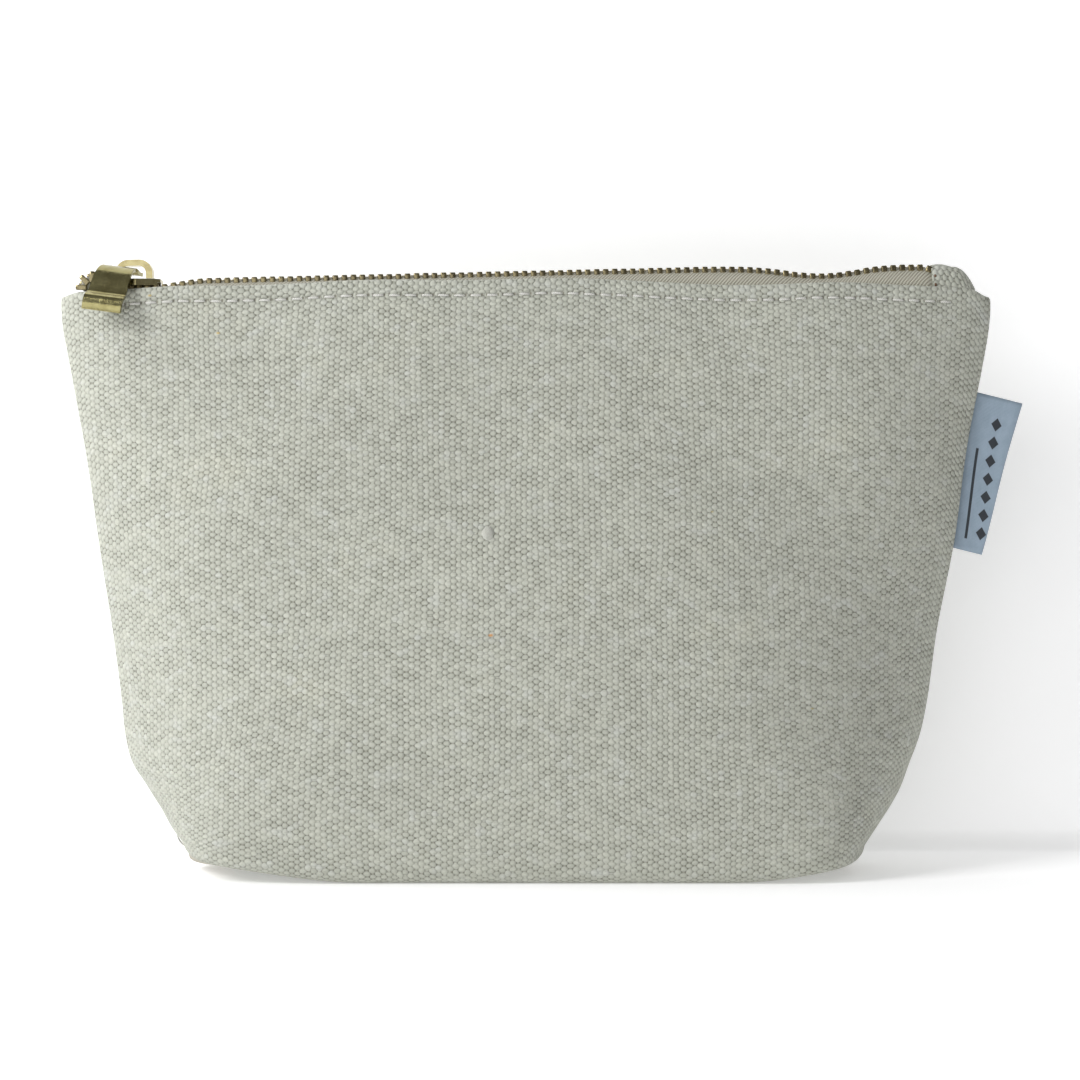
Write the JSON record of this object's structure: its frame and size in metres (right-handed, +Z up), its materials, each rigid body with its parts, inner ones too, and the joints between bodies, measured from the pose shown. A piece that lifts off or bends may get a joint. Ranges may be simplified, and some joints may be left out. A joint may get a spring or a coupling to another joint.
{
  "type": "zippered pouch",
  "caption": "Standing canvas pouch with a boxed base, closed along its top by a metal zip with a pull tab.",
  "frame": {"origin": "middle of the underside of the base", "axes": "+Z up, +X to the right along the zip towards its closed end tab, front towards -Y"},
  "size_m": [0.2174, 0.052, 0.1376],
  "materials": {
    "canvas": "matt",
    "lining": "matt",
    "tape": "matt",
    "teeth": "polished",
    "slider": "polished",
    "puller": "polished",
    "label": "satin",
    "thread": "matt",
    "tab_thread": "matt"
  },
  "bodies": {
    "pouch": {"front_panel": "canvas", "back_panel": "canvas", "lining_front": "lining", "lining_back": "lining", "zip_tape_front": "tape", "zip_tape_back": "tape", "zip_teeth_front": "teeth", "zip_teeth_back": "teeth", "zip_end_tab": "canvas", "side_label": "label", "topstitching_front": "thread", "topstitching_back": "thread", "tab_stitching": "tab_thread", "side_seam_thread_left": "thread", "side_seam_thread_right": "thread", "gusset_seam_thread_left": "thread", "gusset_seam_thread_right": "thread", "base_seam_thread": "thread"},
    "slider": {"slider_body": "slider"},
    "puller": {"puller": "puller"}
  },
  "joints": [
    {"name": "slider_slide", "type": "slide", "parent": "pouch", "child": "slider", "axis": [0.9997, 0, 0.0227], "range_m": [0, 0.172], "deforming": ["zip_tape_front", "zip_tape_back", "zip_teeth_front", "zip_teeth_back"]},
    {"name": "puller_lift", "type": "hinge", "parent": "slider", "child": "puller", "pos_m": [-0.091, 0, 0.1347], "axis": [-0.9781, 0.1549, 0.1392], "range_deg": [0, 25]}
  ]
}
